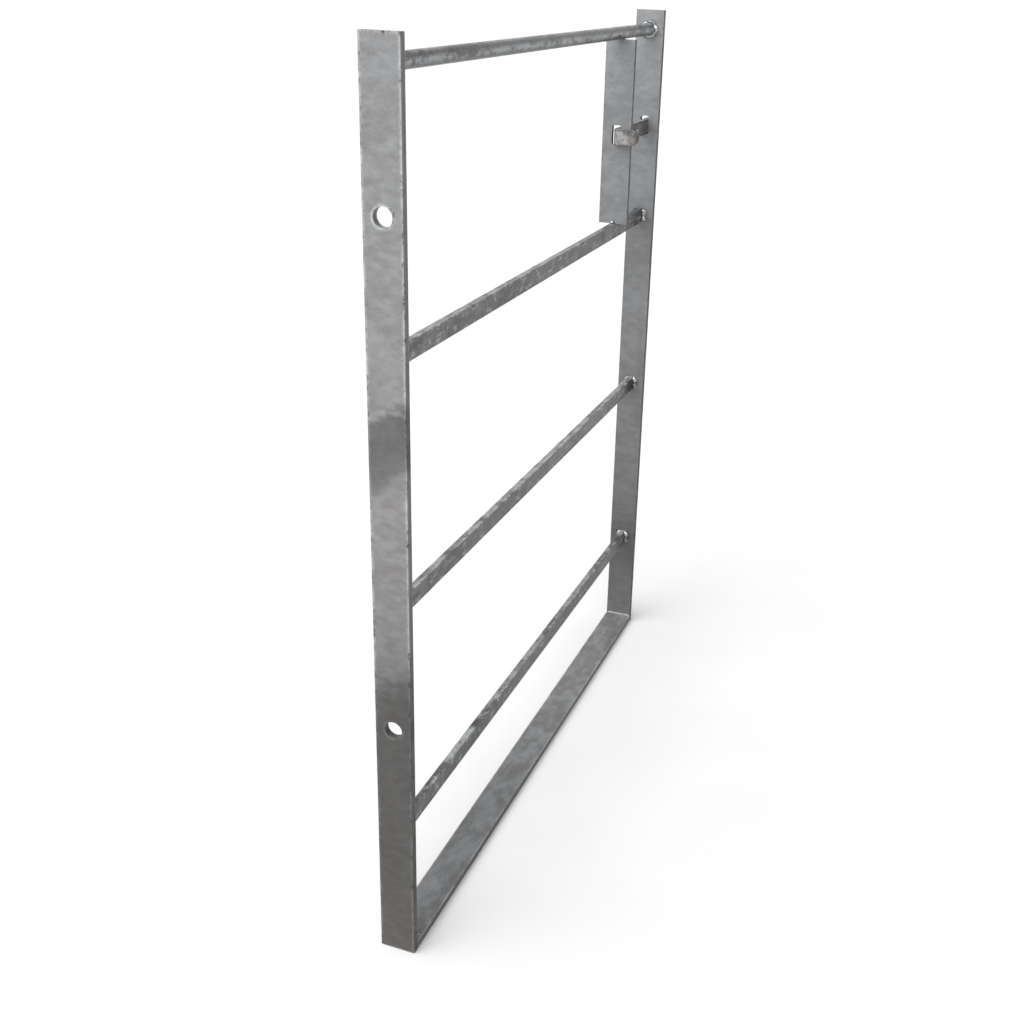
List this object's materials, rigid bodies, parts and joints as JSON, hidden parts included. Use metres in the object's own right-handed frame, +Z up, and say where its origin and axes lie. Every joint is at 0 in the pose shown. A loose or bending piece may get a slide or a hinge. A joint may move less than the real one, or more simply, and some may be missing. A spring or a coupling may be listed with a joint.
{
  "type": "garden gate",
  "caption": "Welded flat-bar garden gate in galvanised steel with a round top rail, flat lower rails and a sliding bolt latch.",
  "frame": {"origin": "on the axis of the lower hinge hole, at the outer face of the hinge stile", "axes": "+X along the gate from the hinge stile to the latch stile, -Y towards the front where the bolt handle is, +Z up"},
  "size_m": [1.072, 0.065, 1.19],
  "materials": {
    "zinc_bar": "matt hot-dip galvanised",
    "zinc_round_bar": "semi-matt hot-dip galvanised, mottled",
    "zinc_bolt": "dull galvanised",
    "zinc_pin": "satin",
    "weld_bead": "bright galvanised"
  },
  "bodies": {
    "gate_frame": {"hinge_stile": "zinc_bar", "latch_stile": "zinc_bar", "bottom_bar": "zinc_bar", "rail_1": "zinc_round_bar", "rail_2": "zinc_bar", "rail_3": "zinc_bar", "rail_4": "zinc_bar", "latch_strip": "zinc_bar", "weld_rail_1_hinge": "weld_bead", "weld_rail_1_latch": "weld_bead", "weld_rail_2_hinge": "weld_bead", "weld_rail_2_latch": "weld_bead", "weld_rail_3_hinge": "weld_bead", "weld_rail_3_latch": "weld_bead", "weld_rail_4_hinge": "weld_bead", "weld_rail_4_latch": "weld_bead", "weld_corner_hinge": "weld_bead", "weld_corner_latch": "weld_bead", "weld_strip_top": "weld_bead", "weld_strip_bottom": "weld_bead"},
    "bolt": {"latch_bolt": "zinc_bolt", "stop_pin": "zinc_pin"}
  },
  "joints": [
    {"name": "bolt_slide", "type": "slide", "parent": "gate_frame", "child": "bolt", "axis": [-1, 0, 0], "range_m": [0, 0.0795]}
  ]
}
